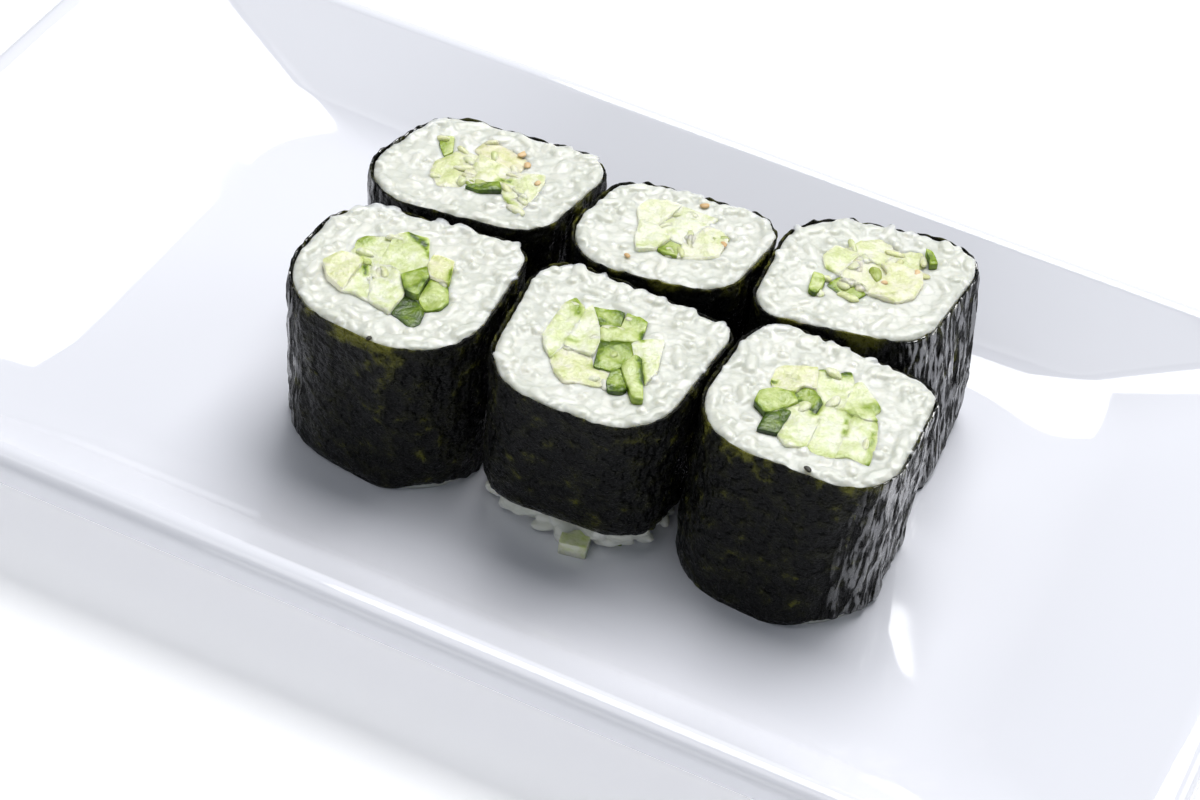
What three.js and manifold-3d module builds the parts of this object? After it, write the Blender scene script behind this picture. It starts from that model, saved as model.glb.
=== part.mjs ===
// Six cucumber maki rolls standing in two rows on a rectangular porcelain plate.
// Millimetres, +Z up. The origin is on the table under the middle of the plate, and +X runs
// along the plate. Each roll is a tube of nori round pressed rice, with strips of cucumber
// that run through it from cut to cut.
import * as THREE from "three";
import { mergeVertices } from "three/addons/utils/BufferGeometryUtils.js";
import Module from "manifold-3d";

const wasm = await Module();
wasm.setup();

// ---- Plate: insets are counted inwards from the rim's highest line -----------------------

const RIM_LENGTH = 214.6;
const RIM_WIDTH = 120;
const RIM_HEIGHT = 20;
const RIM_CORNER = 7;
const LIP_ROUND = 2.4;
const LIP_THICKNESS = 5;
const LIP_BEVEL = 0.6;
const WELL_FLOOR = 8;
const WELL_CORNER = 18;
const WALL_RUN = 22.5;
const END_WALL_RUN = 46.3;
const WALL_SLOPE = THREE.MathUtils.degToRad(36);
const WALL_THICKNESS = 5;
const FOOT_INSET = 24.5;
const FOOT_WIDTH = 3;
const FOOT_DRAFT = 0.8;
const PLATE_CORNER_STEPS = 4;
const WALL_STEPS = 4;
const LIP_STEPS = 5;

// ---- Rolls: heights are counted from the plate's well ------------------------------------

const RICE_HEIGHT = 28.2;
const RICE_EDGE = 0.5;
const NORI_HEIGHT = 28.2;
const NORI_RAGGED = 0.5;
const NORI_THICKNESS = 0.45;
const FOOT_EDGE_INSET = 0.4;
const FOOT_EDGE_RISE = 1.2;
const ROLL_CORNER_STEPS = 5;
const CLEARANCE = 0.3;

// A cooked grain of short rice, lying half sunk in the pressed rice.
const GRAIN_LENGTH = 5.6;
const GRAIN_WIDTH = 2.5;
const GRAIN_DEPTH = 2.2;
const GRAIN_SPACING = 3.5;
const GRAIN_OVERHANG = 0.35;
const GRAIN_TILT = 0.1;
const GRAIN_SUNK = 0.4;
const GRAINS_ON_TOP = 26;

// Strips are cut level with the rice, give or take the knife.
const STRIP_HEIGHT = 28.4;
const STRIP_UNEVEN = 0.4;

// One entry a roll: the middle of the roll on the plate, the four corners that its cut top
// and its foot are pressed to, and the strips of its filling. Corners start at the front
// left and go anticlockwise as [x, y, radius]. A strip is its section's corners, also
// anticlockwise, and skinned counts out those that show mostly dark green.
const ROLLS = [
  {
    name: "front_left",
    at: [-20.5, -15],
    top: [[-15.1, -13.3, 12.9], [16.6, -16.2, 11.7], [14.3, 16.4, 4.4], [-14.8, 12.1, 9]],
    foot: [[-15.4, -12.1, 14.4], [19.2, -15, 12], [14, 15.8, 5], [-14.5, 11.4, 9]],
    skinned: [4, 5, 6],
    strips: [
      [[-7.9, 0.1], [-3.6, 0.3], [-4.6, 7.2], [-7.6, 5.5], [-8.5, 4.2]],
      [[-3.1, 0.5], [-1.5, 1.4], [0.5, 0.6], [2.7, 3.5], [0.1, 8.9], [-2.8, 8.5], [-4.1, 7.5]],
      [[3.2, 3.5], [4.4, 1.8], [7, 1.8], [5.6, 5.9], [3, 5.8]],
      [[0.8, -0.4], [2.8, -3.1], [4.7, -3], [4.1, 1.5], [3.1, 2.9]],
      [[5.1, -3.1], [7, -4.8], [8.5, -3.7], [8.9, -1.7], [7.2, 1.4], [4.6, 1.4]],
      [[3.1, -7.7], [6.8, -9], [7.4, -7.7], [6.9, -5.3], [4.8, -3.5], [2.9, -3.6]],
      [[-0.6, -7.3], [2.6, -7.9], [2.5, -3.4], [0.3, -0.5], [-1.4, 0.9], [-3.2, -0.1], [-3.5, -0.9]],
      [[-4.9, -7.2], [-3, -6.8], [-1, -7.2], [-3.9, -1.1], [-5.3, -0.7]],
      [[-10, -3.5], [-8.1, -5.8], [-5.3, -7.1], [-5.7, -0.6], [-8, -0.4], [-8.8, -0.8]],
    ],
  },
  {
    name: "front_middle",
    at: [11.5, -14],
    top: [[-12.9, -15.3, 10.9], [13.9, -15, 10], [15.2, 14.4, 3.5], [-16.3, 15.4, 6.4]],
    foot: [[-12.4, -12.7, 7.4], [14.2, -11.3, 8.6], [14.6, 13.9, 3.5], [-15.4, 14.9, 6.4]],
    // The nori has slid up here, so the rice spreads out on the plate below it.
    noriLift: 4.5,
    skinned: [2, 5, 7, 8],
    strips: [
      [[-8.2, -1.8], [-7, -3.9], [-5.7, -5], [-5.2, -2.3], [-5.8, 5.9], [-7.7, 7.3], [-8.5, 5.5]],
      [[-2.3, 4], [0.1, 5.4], [-0.5, 8.4], [-4.7, 7.2]],
      [[0.6, 5.2], [-2, 3.6], [-0.8, 1.3], [3, 3.1], [3.9, 4.3], [3.1, 8.3], [-0, 8.5]],
      [[-4.7, -2.2], [-0.8, -2.2], [-1.2, 0.9], [-2.5, 3.6], [-5, 6.9], [-5.3, 6]],
      [[0.7, -4.1], [2.9, -3.7], [3.8, -2.5], [4.4, 0.7], [3.1, 2.7], [-0.7, 0.9]],
      [[3.5, 2.9], [4.7, 0.9], [6.2, 0.6], [8.3, -3.6], [8.5, -0.6], [6.7, 5.6], [4.4, 4.2]],
      [[3.7, -6.4], [4.6, -7.7], [6.3, -7.2], [6.6, -6.4], [4, -3.1], [3.3, -4]],
      [[4.2, -2.6], [8.3, -7.8], [9.5, -7.4], [5.8, 0.2], [4.8, 0.5]],
      [[-5.2, -5.5], [-3.5, -7.8], [-1.6, -9.1], [-0.1, -8.2], [3, -7.2], [3.3, -6.7], [2.9, -4.2], [0.4, -4.6], [-0.7, -2.7], [-4.7, -2.7]],
    ],
  },
  {
    name: "front_right",
    at: [42.5, -9.5],
    top: [[-15.3, -14.3, 10.7], [15.7, -13.2, 8.3], [14.5, 13.4, 5.8], [-15, 15.1, 7.1]],
    foot: [[-16.4, -14.2, 11.5], [15.3, -16.7, 13.5], [13.6, 12.8, 5.8], [-14.4, 14.5, 7.1]],
    skinned: [3, 5],
    strips: [
      [[-1.3, 3.5], [0.6, 1.6], [3.1, 1.7], [2.6, 7.5], [1.4, 9.2], [-1.9, 8.3], [-2.7, 7.6]],
      [[3.6, 1.7], [6.2, 1.4], [8, 2], [7.1, 2.5], [7.7, 4.2], [6.6, 5.4], [3.8, 7.8], [3.1, 7.4]],
      [[-3.6, 0.8], [-2.4, -0.7], [0.2, -1.2], [0.3, 1.2], [-1.6, 3.1], [-3.3, 2.7]],
      [[-7.8, -4], [-5.8, -5.3], [-3.9, -2.7], [-2.7, -0.9], [-3.9, 0.5], [-6.3, 0.2], [-8, -1.5]],
      [[-5.3, -8.7], [-2.7, -8], [-2.8, -3], [-3.6, -3], [-5.5, -5.7]],
      [[-2.4, -2.6], [-2.3, -8], [-0.6, -9.3], [1.5, -8.2], [1, -1.9], [0.3, -1.7], [-2.3, -1.2], [-3.3, -2.6]],
      [[0.6, -1.3], [1.4, -1.5], [1.9, -8.1], [3.5, -8.5], [6, -7.9], [5, 0.9], [3.4, 1.3], [0.7, 1.1]],
      [[6.3, -7.6], [7.3, -6.7], [10.4, -6.9], [9.7, -2.2], [8.3, 1.6], [6.3, 1], [5.4, 0.9]],
      [[-7.4, 1.7], [-6.3, 0.7], [-4.1, 0.9], [-3.7, 3], [-1.8, 3.5], [-3.1, 7.2], [-5.6, 6.1], [-7.7, 4.4]],
    ],
  },
  {
    name: "back_left",
    at: [-20.5, 12],
    top: [[-19, -14.6, 8.8], [13.7, -8.9, 7.8], [16.8, 14.3, 5.3], [-12.2, 11.2, 8.7]],
    foot: [[-18.4, -14.1, 8.8], [13.2, -8.4, 7.8], [16.2, 13.8, 5.3], [-11.7, 10.7, 8.7]],
    skinned: [1, 5],
    strips: [
      [[-8.9, 3.5], [-7.1, 1.3], [-6.5, 2.5], [-8, 6], [-9.5, 5.2]],
      [[-6.6, 1.2], [-7.4, -0.7], [-6.9, -3.1], [-4.6, -5.3], [-1.8, -4], [-2, -2.5], [-2.8, 3.8], [-5.7, 3.3]],
      [[-3.6, 5], [-2.4, 4.4], [3.9, 3.4], [4.4, 6.5], [0.7, 7.7], [-3.1, 7.8]],
      [[-1.5, -2.3], [0, -2.4], [2.7, -0.2], [3.7, 2.9], [-2.3, 3.8]],
      [[-0.8, -4], [1, -3.8], [4, -2.1], [2.9, -0.6], [0.3, -2.8]],
      [[3.2, -0.2], [4.5, -2], [5.5, -3.2], [8, -4.4], [8.5, -2.1], [8.6, 2.5], [7.8, 4.7], [4.3, 3]],
    ],
  },
  {
    name: "back_middle",
    at: [9.5, 14],
    top: [[-15.1, -14, 8.7], [12.4, -8.6, 7.8], [14.7, 13, 5.8], [-12.1, 9.8, 7.2]],
    foot: [[-14.6, -13.5, 8.7], [11.8, -8.1, 7.8], [14, 12.5, 5.8], [-11.6, 9.3, 7.2]],
    skinned: [4],
    strips: [
      [[-6.6, 3.1], [-5.2, 0.7], [-2.7, 0.9], [-1.8, 7], [-3.9, 6.8], [-6.2, 5.4]],
      [[-2.2, 0.8], [0.3, -0.6], [2.2, -0.7], [3.6, 4.9], [4.1, 7.1], [-1.3, 7]],
      [[-4, -3.3], [-2.8, -5.4], [-0.8, -3.8], [0, -1], [-2.5, 0.4], [-5, 0.3]],
      [[-0.4, -3.8], [0.9, -4.3], [2.6, -3.8], [2.2, -1.1], [0.4, -1.1]],
      [[2.6, -0.9], [3, -3.6], [6, -1.8], [7.6, -0.4], [7.4, 3.5], [6, 4.6], [4, 4.6]],
    ],
  },
  {
    name: "back_right",
    at: [37.5, 21],
    top: [[-12.3, -16.9, 5.4], [13.4, -11.1, 8.5], [15.1, 15.9, 6.3], [-14.5, 10.1, 11.4]],
    foot: [[-11.8, -16.4, 6.4], [18.6, -11.7, 7.6], [16, 15.4, 6.3], [-14, 9.6, 11.4]],
    skinned: [6, 8],
    strips: [
      [[-4.1, 4.5], [-2.3, 4], [1.2, 3.8], [2.2, 8.1], [-0.9, 8.9], [-3.1, 6.9]],
      [[-6.6, 0.8], [-5.4, -1], [-3.4, -1.4], [-2.7, 3.6], [-5.9, 3.8]],
      [[-3, -1.5], [1.8, -3.3], [2.8, 2.1], [1.3, 3.3], [-2.2, 3.5]],
      [[1.8, 3.5], [3.3, 2.2], [2.3, -3.3], [6.2, -3.2], [8.1, -0.9], [8, 2.6], [7, 4.8], [3.7, 4.3]],
      [[1.6, 3.9], [3.6, 4.7], [6.9, 5.3], [6.5, 8.2], [5.4, 9.4], [3.8, 9.3], [2.7, 8.1]],
      [[-3.9, -4.7], [0.6, -6.2], [1.7, -3.7], [-3.1, -2]],
      [[-5.6, -7.6], [-4.6, -8.1], [-4.4, -7.3], [-4.4, -4.9], [-5.2, -3.7], [-6.4, -3.9]],
      [[6.9, 8.6], [7.3, 8.3], [7.8, 6.8], [8.6, 7.4], [7, 9.6], [6, 9.9]],
    ],
  },
];

// Below the front middle roll a cucumber end shows on the plate, among spread grains. The
// grains lie along the front of the roll, which is the first share of its outline.
const SPREAD_INSET = 3.2;
const SPREAD_GRAINS = 11;
const SPREAD_GRAIN_OUT = 0.9;
const SPREAD_SHARE = 0.5;
const FALLEN_END = [[2.5, -13.2], [5.9, -12.5], [5.3, -9.6], [1.9, -10.3]];
const FALLEN_HEIGHT = 2.4;

const porcelain = new THREE.MeshStandardMaterial({ color: 0xf1f1f6, roughness: 0.08 });
const nori = new THREE.MeshStandardMaterial({ color: 0x1b1e17, roughness: 0.5 });
const rice = new THREE.MeshStandardMaterial({ color: 0xe8eae3, roughness: 0.45 });
const flesh = new THREE.MeshStandardMaterial({ color: 0xcddc9c, roughness: 0.35 });
const skin = new THREE.MeshStandardMaterial({ color: 0x4c7a1f, roughness: 0.4 });

// ---- Surfaces -----------------------------------------------------------------------------

// Repeatable random numbers from 0 to 1.
function seededRandom(seed) {
  let state = seed;
  return () => {
    state = (state + 0x6d2b79f5) | 0;
    let mixed = Math.imul(state ^ (state >>> 15), 1 | state);
    mixed = (mixed + Math.imul(mixed ^ (mixed >>> 7), 61 | mixed)) ^ mixed;
    return ((mixed ^ (mixed >>> 14)) >>> 0) / 2 ** 32;
  };
}

// The outline through four corners, anticlockwise, each rounded to its own radius. An inset
// moves every side inwards by the same distance.
function roundedOutline(corners, inset, steps) {
  const outline = [];
  corners.forEach(([x, y, radius], i) => {
    const before = corners[(i + corners.length - 1) % corners.length];
    const after = corners[(i + 1) % corners.length];
    const start = Math.atan2(y - before[1], x - before[0]) - Math.PI / 2;
    const end = Math.atan2(after[1] - y, after[0] - x) - Math.PI / 2;
    const sweep = THREE.MathUtils.euclideanModulo(end - start, 2 * Math.PI);
    const bisector = start + sweep / 2;
    const centreX = x - (radius * Math.cos(bisector)) / Math.cos(sweep / 2);
    const centreY = y - (radius * Math.sin(bisector)) / Math.cos(sweep / 2);
    for (let step = 0; step <= steps; step++) {
      const angle = start + (sweep * step) / steps;
      outline.push(
        new THREE.Vector2(
          centreX + (radius - inset) * Math.cos(angle),
          centreY + (radius - inset) * Math.sin(angle),
        ),
      );
    }
  });
  return outline;
}

function ringAt(outline, height) {
  return outline.map((p) => new THREE.Vector3(p.x, p.y, height));
}

function middleOf(ring) {
  const sum = ring.reduce((total, p) => total.add(p), new THREE.Vector3());
  return sum.divideScalar(ring.length);
}

// A surface through rings of equally many points. Capped, it goes from the middle of the
// first ring to the middle of the last; otherwise the last ring joins the first, as on a tube.
// Each four-sided face is split so that walls which run up and down beside each other match.
function surfaceThrough(rings, capped) {
  const count = rings[0].length;
  const points = rings.flat();
  const faces = [];
  const bands = capped ? rings.length - 1 : rings.length;
  for (let band = 0; band < bands; band++) {
    const from = band * count;
    const to = ((band + 1) % rings.length) * count;
    const falls = points[to].z < points[from].z;
    for (let i = 0; i < count; i++) {
      const next = (i + 1) % count;
      if (falls) {
        faces.push(from + i, from + next, to + i);
        faces.push(from + next, to + next, to + i);
      } else {
        faces.push(from + i, from + next, to + next);
        faces.push(from + i, to + next, to + i);
      }
    }
  }
  if (capped) {
    const last = (rings.length - 1) * count;
    const bottom = points.push(middleOf(rings[0])) - 1;
    const top = points.push(middleOf(rings.at(-1))) - 1;
    for (let i = 0; i < count; i++) {
      const next = (i + 1) % count;
      faces.push(bottom, next, i);
      faces.push(top, last + i, last + next);
    }
  }
  const geometry = new THREE.BufferGeometry().setFromPoints(points);
  return geometry.setIndex(faces);
}

function toSolid(geometry) {
  const bare = geometry.clone();
  bare.deleteAttribute("normal");
  bare.deleteAttribute("uv");
  const merged = mergeVertices(bare, 1e-4);
  return new wasm.Manifold(
    new wasm.Mesh({
      numProp: 3,
      vertProperties: merged.attributes.position.array,
      triVerts: new Uint32Array(merged.index.array),
    }),
  );
}

// The largest body of a solid, as a geometry: cuts can leave loose scraps.
function toGeometry(solid) {
  const bodies = solid.decompose().sort((a, b) => b.volume() - a.volume());
  const mesh = bodies[0].getMesh();
  const geometry = new THREE.BufferGeometry();
  geometry.setAttribute("position", new THREE.BufferAttribute(mesh.vertProperties, 3));
  geometry.setIndex(new THREE.BufferAttribute(mesh.triVerts, 1));
  return geometry;
}

// ---- Plate --------------------------------------------------------------------------------

// One ring of the plate: a rectangle whose corner radius grows towards the well. The walls at
// the ends are longer and gentler than those at the sides, so their insets are stretched.
function plateRing(inset, height) {
  const growth = ((WELL_CORNER - RIM_CORNER) * inset) / WALL_RUN;
  const radius = inset < 0 ? RIM_CORNER - inset : RIM_CORNER + growth;
  const stretch = END_WALL_RUN / WALL_RUN - 1;
  const x = RIM_LENGTH / 2 - inset - stretch * THREE.MathUtils.clamp(inset, 0, WALL_RUN);
  const y = RIM_WIDTH / 2 - inset;
  const corners = [[-x, -y, radius], [x, -y, radius], [x, y, radius], [-x, y, radius]];
  return ringAt(roundedOutline(corners, 0, PLATE_CORNER_STEPS), height);
}

// The plate's skin from the middle of its underside, round the lip, to the middle of the well.
// The wall leaves the well on a hollow curve and runs straight at its slope to the lip.
function plateGeometry() {
  const lean = Math.sin(WALL_SLOPE);
  const level = Math.cos(WALL_SLOPE);
  const run = WALL_RUN - LIP_ROUND * lean;
  const rise = RIM_HEIGHT - WELL_FLOOR - LIP_ROUND * (1 - level);
  const hollow = (run * lean - rise * level) / (1 - level);
  const underside = WELL_FLOOR - WALL_THICKNESS;
  const lipBottom = RIM_HEIGHT - LIP_THICKNESS;
  const footInner = FOOT_INSET + FOOT_DRAFT + FOOT_WIDTH;

  const rings = [
    plateRing(footInner + FOOT_DRAFT, underside),
    plateRing(footInner, 0),
    plateRing(FOOT_INSET + FOOT_DRAFT, 0),
    plateRing(FOOT_INSET, underside),
  ];
  for (let step = 0; step <= WALL_STEPS; step++) {
    const angle = (WALL_SLOPE * step) / WALL_STEPS;
    const inset = WALL_RUN - (hollow + WALL_THICKNESS) * Math.sin(angle);
    const height = WELL_FLOOR + hollow - (hollow + WALL_THICKNESS) * Math.cos(angle);
    rings.push(plateRing(inset, height));
  }
  rings.push(plateRing(LIP_BEVEL - LIP_ROUND, lipBottom));
  rings.push(plateRing(-LIP_ROUND, lipBottom + LIP_BEVEL));
  for (let step = 0; step <= LIP_STEPS; step++) {
    const angle = THREE.MathUtils.lerp(Math.PI / 2, -WALL_SLOPE, step / LIP_STEPS);
    const height = RIM_HEIGHT - LIP_ROUND * (1 - Math.cos(angle));
    rings.push(plateRing(-LIP_ROUND * Math.sin(angle), height));
  }
  for (let step = WALL_STEPS; step >= 0; step--) {
    const angle = (WALL_SLOPE * step) / WALL_STEPS;
    const inset = WALL_RUN - hollow * Math.sin(angle);
    rings.push(plateRing(inset, WELL_FLOOR + hollow * (1 - Math.cos(angle))));
  }
  return surfaceThrough(rings, true);
}

// ---- Rolls --------------------------------------------------------------------------------

// A ring of a roll's wall at a height, moved in by an inset. The wall runs straight from the
// foot, which is at the nori's lower edge, to the cut top.
function rollRing(roll, height, inset) {
  const lift = roll.noriLift ?? 0;
  const share = Math.max(0, (height - lift) / (RICE_HEIGHT - lift));
  const foot = roundedOutline(roll.foot, inset, ROLL_CORNER_STEPS);
  const top = roundedOutline(roll.top, inset, ROLL_CORNER_STEPS);
  const outline = foot.map((p, i) => p.lerp(top[i], share));
  return ringAt(outline, height);
}

// The nori is one sheet wrapped into a tube, with a torn, slightly wavy upper edge.
function noriGeometry(roll, random) {
  const lift = roll.noriLift ?? 0;
  const edge = lift + FOOT_EDGE_RISE;
  const middle = (lift + RICE_HEIGHT) / 2;
  const phase = 2 * Math.PI * random();
  const torn = (ring) => {
    ring.forEach((p, i) => {
      const turn = (2 * Math.PI * i) / ring.length;
      p.z -= NORI_RAGGED * (0.5 + 0.25 * (Math.sin(3 * turn + phase) + Math.sin(5 * turn)));
    });
    return ring;
  };
  const rings = [
    rollRing(roll, lift, FOOT_EDGE_INSET),
    rollRing(roll, edge, 0),
    rollRing(roll, middle, 0),
    torn(rollRing(roll, NORI_HEIGHT, 0)),
    torn(rollRing(roll, NORI_HEIGHT, NORI_THICKNESS)),
    rollRing(roll, middle, NORI_THICKNESS),
    rollRing(roll, edge, NORI_THICKNESS),
    rollRing(roll, lift, FOOT_EDGE_INSET + NORI_THICKNESS),
  ];
  return surfaceThrough(rings, false);
}

// The pressed rice inside the nori, before the filling is cut out of it.
function riceCoreGeometry(roll) {
  const lift = roll.noriLift ?? 0;
  const inside = NORI_THICKNESS + CLEARANCE;
  const rings = lift ? [rollRing(roll, 0, SPREAD_INSET)] : [];
  rings.push(
    rollRing(roll, lift, inside + FOOT_EDGE_INSET),
    rollRing(roll, lift + FOOT_EDGE_RISE, inside),
    rollRing(roll, (lift + RICE_HEIGHT) / 2, inside),
    rollRing(roll, RICE_HEIGHT - RICE_EDGE, inside),
    rollRing(roll, RICE_HEIGHT, inside + RICE_EDGE),
  );
  return surfaceThrough(rings, true);
}

// The space that the nori takes, with clearance above it and inside it.
function noriSpace(roll) {
  const above = NORI_HEIGHT + CLEARANCE;
  const inside = NORI_THICKNESS + CLEARANCE;
  const rings = [
    rollRing(roll, 0, -GRAIN_WIDTH),
    rollRing(roll, above, -GRAIN_WIDTH),
    rollRing(roll, above, inside),
    rollRing(roll, 0, inside),
  ];
  return toSolid(surfaceThrough(rings, false));
}

// An outline with every side moved out by the same distance.
function movedOut(outline, distance) {
  return outline.map((corner, i) => {
    const before = corner.clone().sub(outline.at(i - 1)).normalize();
    const after = outline[(i + 1) % outline.length].clone().sub(corner).normalize();
    const reach = distance / (1 + before.dot(after));
    return new THREE.Vector2(
      corner.x + reach * (before.y + after.y),
      corner.y - reach * (before.x + after.x),
    );
  });
}

function sectionOf(strip) {
  return strip.map(([x, y]) => new THREE.Vector2(x, y));
}

// A strip of cucumber, cut across at both ends.
function stripGeometry(section, height) {
  return new THREE.ExtrudeGeometry(new THREE.Shape(section), {
    depth: height,
    bevelEnabled: false,
  });
}

// The hole that a strip leaves in the rice: clear of it all round, and open above and below.
function stripHole(strip, height) {
  const section = movedOut(sectionOf(strip), CLEARANCE);
  return toSolid(stripGeometry(section, height + CLEARANCE).translate(0, 0, -CLEARANCE));
}

// How far a point lies inside an outline, and the direction of its nearest side.
function nearestSide(outline, point) {
  let nearest = { room: Infinity, direction: 0 };
  outline.forEach((start, i) => {
    const side = outline[(i + 1) % outline.length].clone().sub(start);
    const room = side.cross(point.clone().sub(start)) / side.length();
    if (room < nearest.room) nearest = { room, direction: side.angle() };
  });
  return nearest;
}

function overStrip(roll, point, margin) {
  return roll.strips.some((strip) => {
    const outline = movedOut(sectionOf(strip), margin);
    const crossed = outline.filter((end, i) => {
      const start = outline.at(i - 1);
      if (start.y > point.y === end.y > point.y) return false;
      const share = (point.y - start.y) / (end.y - start.y);
      return point.x < start.x + share * (end.x - start.x);
    });
    return crossed.length % 2 === 1;
  });
}

function grainSolid(x, y, z, turn, tilt) {
  const grain = new THREE.IcosahedronGeometry(1, 0);
  grain.scale(GRAIN_LENGTH / 2, GRAIN_WIDTH / 2, GRAIN_DEPTH / 2);
  grain.rotateY(tilt);
  grain.rotateZ(turn);
  grain.translate(x, y, z);
  return toSolid(grain);
}

// Grains scattered over the cut face, clear of each other and of the filling. One near the
// edge reaches over the nori by no more than the overhang.
function grainsOnTop(roll, random) {
  const outline = roundedOutline(roll.top, 0, ROLL_CORNER_STEPS);
  const half = 18;
  const spots = [];
  const grains = [];
  for (let tries = 0; tries < 5000 && spots.length < GRAINS_ON_TOP; tries++) {
    const point = new THREE.Vector2(half * (2 * random() - 1), half * (2 * random() - 1));
    const turn = Math.PI * random();
    const { room, direction } = nearestSide(outline, point);
    const reach = Math.hypot(
      (GRAIN_LENGTH / 2) * Math.sin(turn - direction),
      (GRAIN_WIDTH / 2) * Math.cos(turn - direction),
    );
    const crowded = spots.some((spot) => spot.distanceTo(point) < GRAIN_SPACING);
    if (crowded || room < reach - GRAIN_OVERHANG || overStrip(roll, point, 1)) continue;
    spots.push(point);
    const height = RICE_HEIGHT - GRAIN_SUNK * random();
    const tilt = GRAIN_TILT * (2 * random() - 1);
    grains.push(grainSolid(point.x, point.y, height, turn, tilt));
  }
  return wasm.Manifold.union(grains).subtract(noriSpace(roll));
}

// Grains that have spread on the plate round the foot of a roll whose nori has slid up.
function grainsAtFoot(roll, random) {
  const inset = SPREAD_INSET - SPREAD_GRAIN_OUT;
  const outline = roundedOutline(roll.foot, inset, ROLL_CORNER_STEPS);
  const path = new THREE.Path(outline.concat(outline[0]));
  const grains = [];
  for (let i = 0; i < SPREAD_GRAINS; i++) {
    const spot = path.getPointAt((SPREAD_SHARE * (i + 0.5 * random())) / SPREAD_GRAINS);
    const height = GRAIN_DEPTH * (0.35 + 0.5 * random());
    grains.push(grainSolid(spot.x, spot.y, height, Math.PI * random(), 0));
  }
  return wasm.Manifold.union(grains).trimByPlane([0, 0, 1], 0);
}

function riceGeometry(roll, holes, random) {
  const parts = [toSolid(riceCoreGeometry(roll)), grainsOnTop(roll, random)];
  if (roll.noriLift) parts.push(grainsAtFoot(roll, random));
  const filled = wasm.Manifold.union(parts);
  return toGeometry(filled.subtract(wasm.Manifold.union(holes)));
}

function namedMesh(name, geometry, material) {
  const mesh = new THREE.Mesh(geometry, material);
  mesh.name = name;
  return mesh;
}

function rollGroup(roll, seed) {
  const random = seededRandom(seed);
  const group = new THREE.Group();
  group.position.set(roll.at[0], roll.at[1], WELL_FLOOR);
  group.add(namedMesh(`nori_${roll.name}`, noriGeometry(roll, random), nori));
  const holes = [];
  const addStrip = (label, strip, height, holeHeight) => {
    const material = roll.skinned.includes(label) ? skin : flesh;
    const geometry = stripGeometry(sectionOf(strip), height);
    group.add(namedMesh(`cucumber_${roll.name}_${label}`, geometry, material));
    holes.push(stripHole(strip, holeHeight));
  };
  roll.strips.forEach((strip, i) => {
    const height = STRIP_HEIGHT + STRIP_UNEVEN * (2 * random() - 1);
    addStrip(i + 1, strip, height, height + GRAIN_DEPTH);
  });
  if (roll.noriLift) addStrip("fallen", FALLEN_END, FALLEN_HEIGHT, FALLEN_HEIGHT);
  group.add(namedMesh(`rice_${roll.name}`, riceGeometry(roll, holes, random), rice));
  return group;
}

// ---- The whole dish -----------------------------------------------------------------------

const dish = new THREE.Group();
dish.add(namedMesh("plate", plateGeometry(), porcelain));
ROLLS.forEach((roll, i) => dish.add(rollGroup(roll, i + 1)));

export default dish;
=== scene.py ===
import itertools
import math

import bmesh
import bpy
import mathutils.geometry
import mathutils.kdtree
import numpy as np
from mathutils import Matrix, Vector


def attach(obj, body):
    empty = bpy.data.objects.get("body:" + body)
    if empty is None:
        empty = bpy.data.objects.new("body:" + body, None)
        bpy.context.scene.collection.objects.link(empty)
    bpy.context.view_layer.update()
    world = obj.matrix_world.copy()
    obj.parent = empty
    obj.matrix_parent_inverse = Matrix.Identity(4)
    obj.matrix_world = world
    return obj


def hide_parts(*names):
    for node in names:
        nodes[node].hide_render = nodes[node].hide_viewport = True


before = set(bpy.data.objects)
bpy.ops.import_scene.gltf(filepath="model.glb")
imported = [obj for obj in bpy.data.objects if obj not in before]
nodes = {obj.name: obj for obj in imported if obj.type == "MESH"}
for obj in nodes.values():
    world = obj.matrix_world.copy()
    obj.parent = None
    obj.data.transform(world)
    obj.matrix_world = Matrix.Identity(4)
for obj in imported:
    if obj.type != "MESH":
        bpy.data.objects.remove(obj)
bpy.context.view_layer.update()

# ---- Camera -------------------------------------------------------------------------------
# A long lens looks down on the dish from the front, a little to the right of its middle, so
# the plate runs away to the left and both rows of cut tops show.

camera = bpy.data.objects.new("camera", bpy.data.cameras.new("camera"))
camera.data.sensor_width = 36
camera.data.lens = 96.4
camera.data.clip_start = 0.02
camera.data.clip_end = 20
camera_right = Vector((0.90017, 0.42421, 0.09869))
camera_up = Vector((-0.35177, 0.57452, 0.73904))
camera_back = camera_right.cross(camera_up)
turned = Matrix((camera_right, camera_up, camera_back)).transposed()
camera.matrix_world = Matrix.Translation((0.12982, -0.33470, 0.33167)) @ turned.to_4x4()
bpy.context.collection.objects.link(camera)
bpy.context.scene.camera = camera

# ---- Table --------------------------------------------------------------------------------
# The dish stands on a matt white table top that runs on without an edge and is lit from below,
# so that it stays white round the plate.

bpy.context.scene.view_settings.view_transform = "Standard"


def new_material(name):
    """A material with nodes, its node tree and its shader."""
    material = bpy.data.materials.new(name)
    material.use_nodes = True
    return material, material.node_tree, material.node_tree.nodes["Principled BSDF"]


def add_node(tree, kind, inputs=(), **settings):
    """A node with its settings, and its inputs set to values or joined to other sockets."""
    node = tree.nodes.new(kind)
    for name, value in settings.items():
        setattr(node, name, value)
    for name, value in dict(inputs).items():
        if isinstance(value, bpy.types.NodeSocket):
            tree.links.new(value, node.inputs[name])
        else:
            node.inputs[name].default_value = value
    return node


def add_object(name, data):
    """An object at the origin that shows a mesh or holds a lamp."""
    thing = bpy.data.objects.new(name, data)
    bpy.context.collection.objects.link(thing)
    return thing


def shade_smooth(mesh):
    """Shades all the faces of a mesh as one surface."""
    mesh.polygons.foreach_set("use_smooth", [True] * len(mesh.polygons))


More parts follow.
